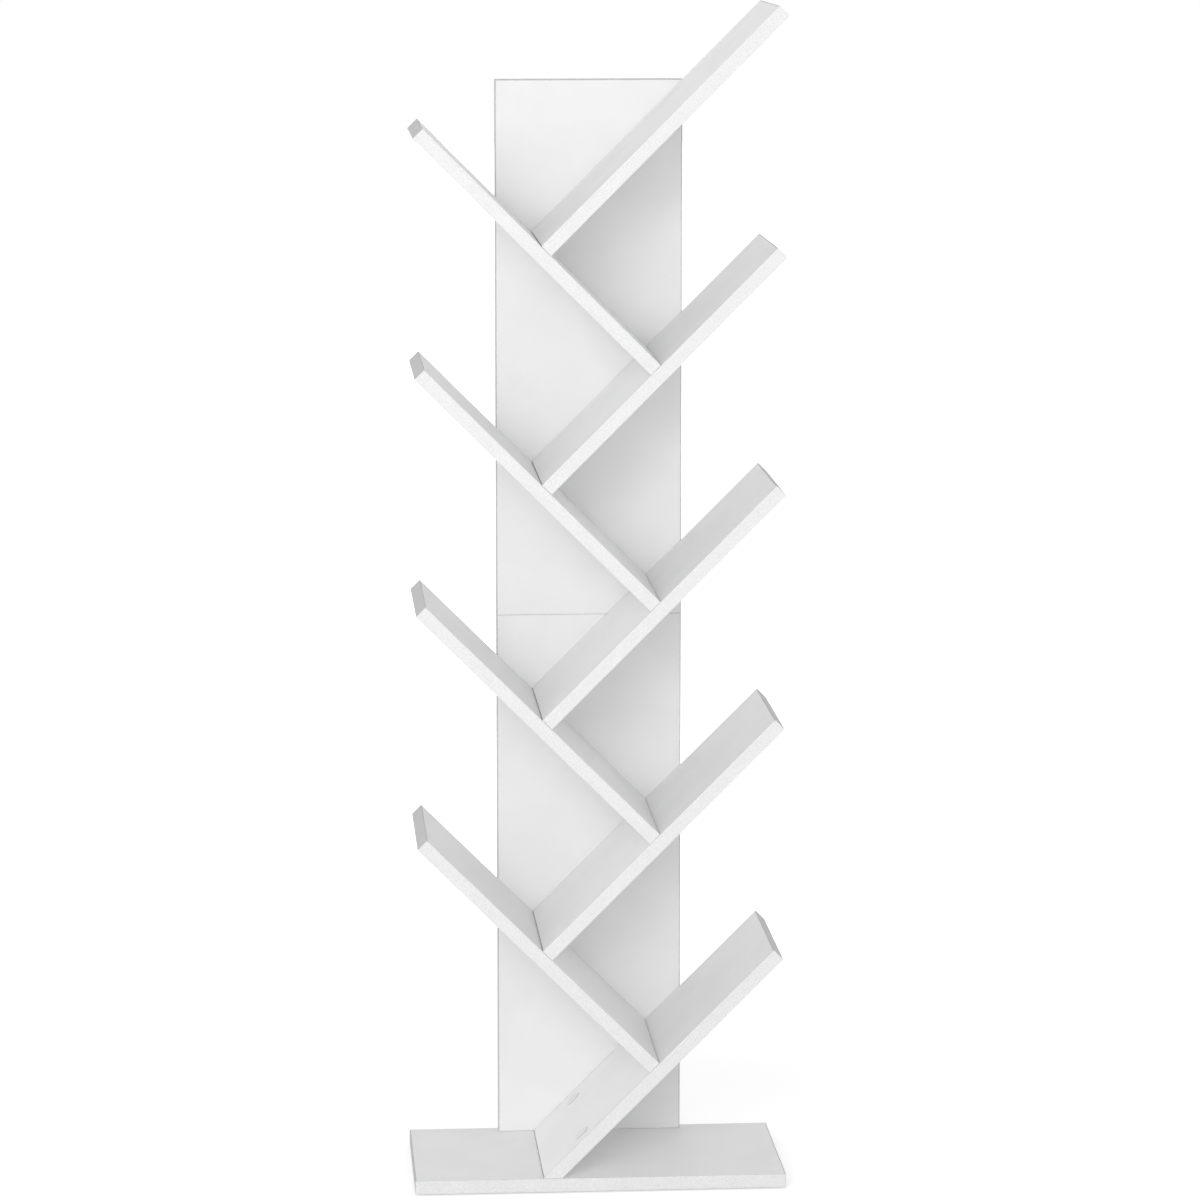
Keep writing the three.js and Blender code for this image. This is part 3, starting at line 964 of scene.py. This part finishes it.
def make_dowels(fittings):
    """Fluted dowels with tapered ends."""
    for node in required("panel_dowel"):
        low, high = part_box(node)
        radius, length = (high.y - low.y) / 2, high.z - low.z
        mesh = bmesh.new()
        ring = bmesh.ops.create_circle(
            mesh, radius=radius * DOWEL_END, segments=2 * fittings.flute_count
        )["verts"]
        for vert in ring[::2]:
            vert.co.xy *= (radius - fittings.flute_depth) / radius
        rises = [(DOWEL_TAPER, 1 / DOWEL_END), (length - 2 * DOWEL_TAPER, 1),
                 (DOWEL_TAPER, DOWEL_END)]
        edges = list(mesh.edges)
        for rise, scale in rises:
            raised = bmesh.ops.extrude_edge_only(mesh, edges=edges)["geom"]
            edges = [e for e in raised if isinstance(e, bmesh.types.BMEdge)]
            verts = list({v for e in edges for v in e.verts})
            bmesh.ops.translate(mesh, vec=(0, 0, rise), verts=verts)
            bmesh.ops.scale(mesh, vec=(scale, scale, 1), verts=verts)
        bmesh.ops.holes_fill(mesh, edges=[e for e in mesh.edges if e.is_boundary])
        bmesh.ops.recalc_face_normals(mesh, faces=mesh.faces)
        mesh.transform(underneath(node))
        finish_piece(mesh, f"{node}_dressed", ["beech"], node)


def make_softened(node, material, fittings):
    """A merged copy of a CAD fitting with softened rims."""
    piece = finish_piece(merged_copy(node), f"{node}_dressed", [material], node)
    shade_smooth(piece, CREASE)
    soften = piece.modifiers.new("soft_rims", "BEVEL")
    soften.width = fittings.soft_rim
    soften.segments = RIM_SEGMENTS
    soften.limit_method = "ANGLE"
    soften.angle_limit = RIM_ANGLE


# Studio

FLOOR_RADIUS = 20.0
FLOOR_STEPS = 96
FLOOR_NEAR = 0.4  # the floor keeps its shadows up to here and is plain white from FLOOR_FAR on
FLOOR_FAR = 1.6
VIEW_END = 100.0  # how far the camera sees


def make_lamp(name, place, size, power):
    """A soft square lamp that shines on the middle of the bookshelf."""
    lamp = bpy.data.lights.new(name, "AREA")
    lamp.shape = "SQUARE"
    lamp.size = size
    lamp.energy = power
    middle = Vector((0, 0, (cad_box[0][2] + cad_box[1][2]) / 2))
    turn = (middle - Vector(place)).to_track_quat("-Z", "Y")
    add_object(name, lamp).matrix_world = Matrix.Translation(place) @ turn.to_matrix().to_4x4()


def seen_directly(nodes):
    """1 for what the camera sees straight, in a reflection or through glass, 0 for other light."""
    rays = nodes.add("ShaderNodeLightPath").outputs
    either = nodes.math("MAXIMUM", rays["Is Camera Ray"], rays["Is Glossy Ray"])
    return nodes.math("MAXIMUM", either, rays["Is Transmission Ray"])


def make_floor(studio):
    """A wide pale floor that the camera sees as white with the object's soft shadow on it."""
    mesh = bmesh.new()
    bmesh.ops.create_circle(mesh, cap_ends=True, radius=FLOOR_RADIUS, segments=FLOOR_STEPS)
    data = bpy.data.meshes.new("floor")
    mesh.to_mesh(data)
    mesh.free()
    floor = add_object("floor", data)
    material = bpy.data.materials.new("studio_floor")
    material.use_nodes = True
    nodes = Nodes(material.node_tree)
    cloth = nodes.add("ShaderNodeBsdfDiffuse", {"Color": opaque(studio.floor_colour)})
    place = nodes.add("ShaderNodeTexCoord").outputs["Object"]
    away = nodes.add("ShaderNodeVectorMath", {0: place}, operation="LENGTH").outputs["Value"]
    haze = nodes.ramp(away, FLOOR_NEAR, FLOOR_FAR, studio.floor_glow, 1.0)
    strength = nodes.math("MULTIPLY", seen_directly(nodes), haze)
    glow = nodes.add("ShaderNodeEmission", {"Strength": strength})
    both = nodes.add("ShaderNodeAddShader", {0: cloth.outputs[0], 1: glow.outputs[0]})
    nodes.add("ShaderNodeOutputMaterial", {"Surface": both.outputs[0]})
    data.materials.append(material)


def make_sky(studio):
    """White light from all round, most of it level. The camera and reflections see plain white."""
    world = bpy.data.worlds.new("studio")
    bpy.context.scene.world = world
    world.use_nodes = True
    nodes = Nodes(world.node_tree)
    way = nodes.add("ShaderNodeTexCoord").outputs["Generated"]
    steep = nodes.math("ABSOLUTE", nodes.parts(way)[2])
    soft = nodes.math("MULTIPLY_ADD", steep, studio.zenith - studio.horizon, studio.horizon)
    to_white = nodes.math("SUBTRACT", 1.0, soft)
    strength = nodes.math("MULTIPLY_ADD", seen_directly(nodes), to_white, soft)
    sky = nodes.add("ShaderNodeBackground", {"Color": (1, 1, 1, 1), "Strength": strength})
    nodes.add("ShaderNodeOutputWorld", {"Surface": sky.outputs[0]})


def make_camera(studio):
    """The camera at the photograph's place, turned but never shifted."""
    data = bpy.data.cameras.new("camera")
    data.sensor_width = studio.sensor
    data.lens = studio.lens
    data.clip_end = VIEW_END
    camera = add_object("camera", data)
    camera.location = studio.camera_place
    camera.rotation_euler = (math.pi / 2 - studio.camera_pitch, 0, studio.camera_yaw)
    bpy.context.scene.camera = camera


# Operators


class BOOKSHELF_OT_finishes(bpy.types.Operator):
    """Make the shader groups and the materials"""

    bl_idname = "bookshelf.finishes"
    bl_label = "Finishes"

    def execute(self, context):
        boards, fittings = context.scene.bookshelf_boards, context.scene.bookshelf_fittings
        make_edge_wear_group()
        make_stipple_group()
        make_mottle_group()
        make_melamine("shelf_melamine", boards.face_colour, boards.face_shade, boards)
        # A darker copy of the shelves' melamine: painted shade on the back panel.
        make_melamine("panel_melamine_painted_shade", boards.panel_colour_painted_shade, boards.panel_clouds_painted_shade, boards)
        make_edge_band("front_band", boards.band_colour, boards, gloss=0.45, speckle=0.6)
        # The end band's darker colour is painted shade on the boards' ends and the panel's sides.
        make_edge_band("end_band_painted_shade", boards.end_shade_colour, boards, gloss=0.1, speckle=0.3)
        make_glue_line(boards)
        make_chipboard(boards)
        make_plated("zinc_plate", fittings.zinc_colour, fittings.zinc_shade, grain=900.0,
                    roughness=0.28)
        make_plated("cam_zinc", fittings.cast_colour, fittings.cast_shade, grain=1600.0,
                    roughness=0.46)
        make_nylon(fittings)
        make_beech(fittings)
        return {"FINISHED"}


class BOOKSHELF_OT_base(bpy.types.Operator):
    """Dress the base board"""

    bl_idname = "bookshelf.base"
    bl_label = "Base"

    def execute(self, context):
        for name in required("base_board"):
            make_board(name, context.scene.bookshelf_boards, "shelf_melamine")
        return {"FINISHED"}


class BOOKSHELF_OT_back_panel(bpy.types.Operator):
    """Dress the two halves of the back panel"""

    bl_idname = "bookshelf.back_panel"
    bl_label = "Back panel"

    def execute(self, context):
        for name in required("back_panel"):
            make_board(name, context.scene.bookshelf_boards, "panel_melamine_painted_shade")
        return {"FINISHED"}


class BOOKSHELF_OT_shelves(bpy.types.Operator):
    """Dress the nine leaning shelves"""

    bl_idname = "bookshelf.shelves"
    bl_label = "Shelves"

    def execute(self, context):
        for name in required("shelf"):
            make_board(name, context.scene.bookshelf_boards, "shelf_melamine")
        return {"FINISHED"}


class BOOKSHELF_OT_screws(bpy.types.Operator):
    """Put threaded screws with hexagon sockets in place of the plain ones"""

    bl_idname = "bookshelf.screws"
    bl_label = "Screws"

    def execute(self, context):
        fittings = context.scene.bookshelf_fittings
        make_screws("panel_screw", lambda node: Y, fittings)
        make_screws("joint_screw", lambda node: -shelf_side(node), fittings)
        make_screws("panel_foot_screw", lambda node: -Z, fittings)
        return {"FINISHED"}


class BOOKSHELF_OT_cams(bpy.types.Operator):
    """Dress the cams, their bolts and their covers"""

    bl_idname = "bookshelf.cams"
    bl_label = "Cam fittings"

    def execute(self, context):
        fittings = context.scene.bookshelf_fittings
        for end in ("front", "rear"):
            make_softened(f"cam_{end}", "cam_zinc", fittings)
            make_softened(f"cam_bolt_{end}", "zinc_plate", fittings)
        make_covers(fittings)
        return {"FINISHED"}


class BOOKSHELF_OT_dowels(bpy.types.Operator):
    """Put fluted dowels between the halves of the back panel"""

    bl_idname = "bookshelf.dowels"
    bl_label = "Dowels"

    def execute(self, context):
        make_dowels(context.scene.bookshelf_fittings)
        return {"FINISHED"}


class BOOKSHELF_OT_glides(bpy.types.Operator):
    """Put rounded glides under the base"""

    bl_idname = "bookshelf.glides"
    bl_label = "Glides"

    def execute(self, context):
        make_glides(context.scene.bookshelf_fittings)
        return {"FINISHED"}


class BOOKSHELF_OT_studio(bpy.types.Operator):
    """Set up the floor, the sky, the lamps and the camera"""

    bl_idname = "bookshelf.studio"
    bl_label = "Studio"

    def execute(self, context):
        studio = context.scene.bookshelf_studio
        context.scene.view_settings.view_transform = "Standard"
        make_floor(studio)
        make_sky(studio)
        make_lamp("front_lamp", studio.front_place, studio.lamp_size, studio.front_power)
        make_lamp("left_lamp", studio.left_place, studio.lamp_size, studio.left_power)
        make_camera(studio)
        return {"FINISHED"}


OPERATORS = (
    BOOKSHELF_OT_finishes,
    BOOKSHELF_OT_base,
    BOOKSHELF_OT_back_panel,
    BOOKSHELF_OT_shelves,
    BOOKSHELF_OT_screws,
    BOOKSHELF_OT_cams,
    BOOKSHELF_OT_dowels,
    BOOKSHELF_OT_glides,
    BOOKSHELF_OT_studio,
)


class BOOKSHELF_PT_panel(bpy.types.Panel):
    """The bookshelf's settings and steps"""

    bl_idname = "BOOKSHELF_PT_panel"
    bl_label = "Tree Bookshelf"
    bl_space_type = "VIEW_3D"
    bl_region_type = "UI"
    bl_category = "Bookshelf"

    def draw(self, context):
        for pointer, group in SETTINGS.items():
            box = self.layout.box()
            box.label(text=group.bl_label)
            for key in group.__annotations__:
                box.prop(getattr(context.scene, pointer), key)
        for operator in OPERATORS:
            self.layout.operator(operator.bl_idname)


SETTINGS = {
    "bookshelf_boards": BoardSettings,
    "bookshelf_fittings": FittingSettings,
    "bookshelf_studio": StudioSettings,
}
CLASSES = (*SETTINGS.values(), *OPERATORS, BOOKSHELF_PT_panel)


def register():
    """Registers the classes and puts the settings on the scene."""
    for cls in CLASSES:
        bpy.utils.register_class(cls)
    for pointer, group in SETTINGS.items():
        setattr(bpy.types.Scene, pointer, bpy.props.PointerProperty(type=group))


def unregister():
    """Takes the settings and the classes away."""
    for pointer in SETTINGS:
        delattr(bpy.types.Scene, pointer)
    for cls in reversed(CLASSES):
        bpy.utils.unregister_class(cls)


def main():
    """Builds the finished bookshelf step by step."""
    register()
    bpy.ops.bookshelf.finishes()
    bpy.ops.bookshelf.base()
    bpy.ops.bookshelf.back_panel()
    bpy.ops.bookshelf.shelves()
    bpy.ops.bookshelf.screws()
    bpy.ops.bookshelf.cams()
    bpy.ops.bookshelf.dowels()
    bpy.ops.bookshelf.glides()
    bpy.ops.bookshelf.studio()


if __name__ == "__main__":
    main()
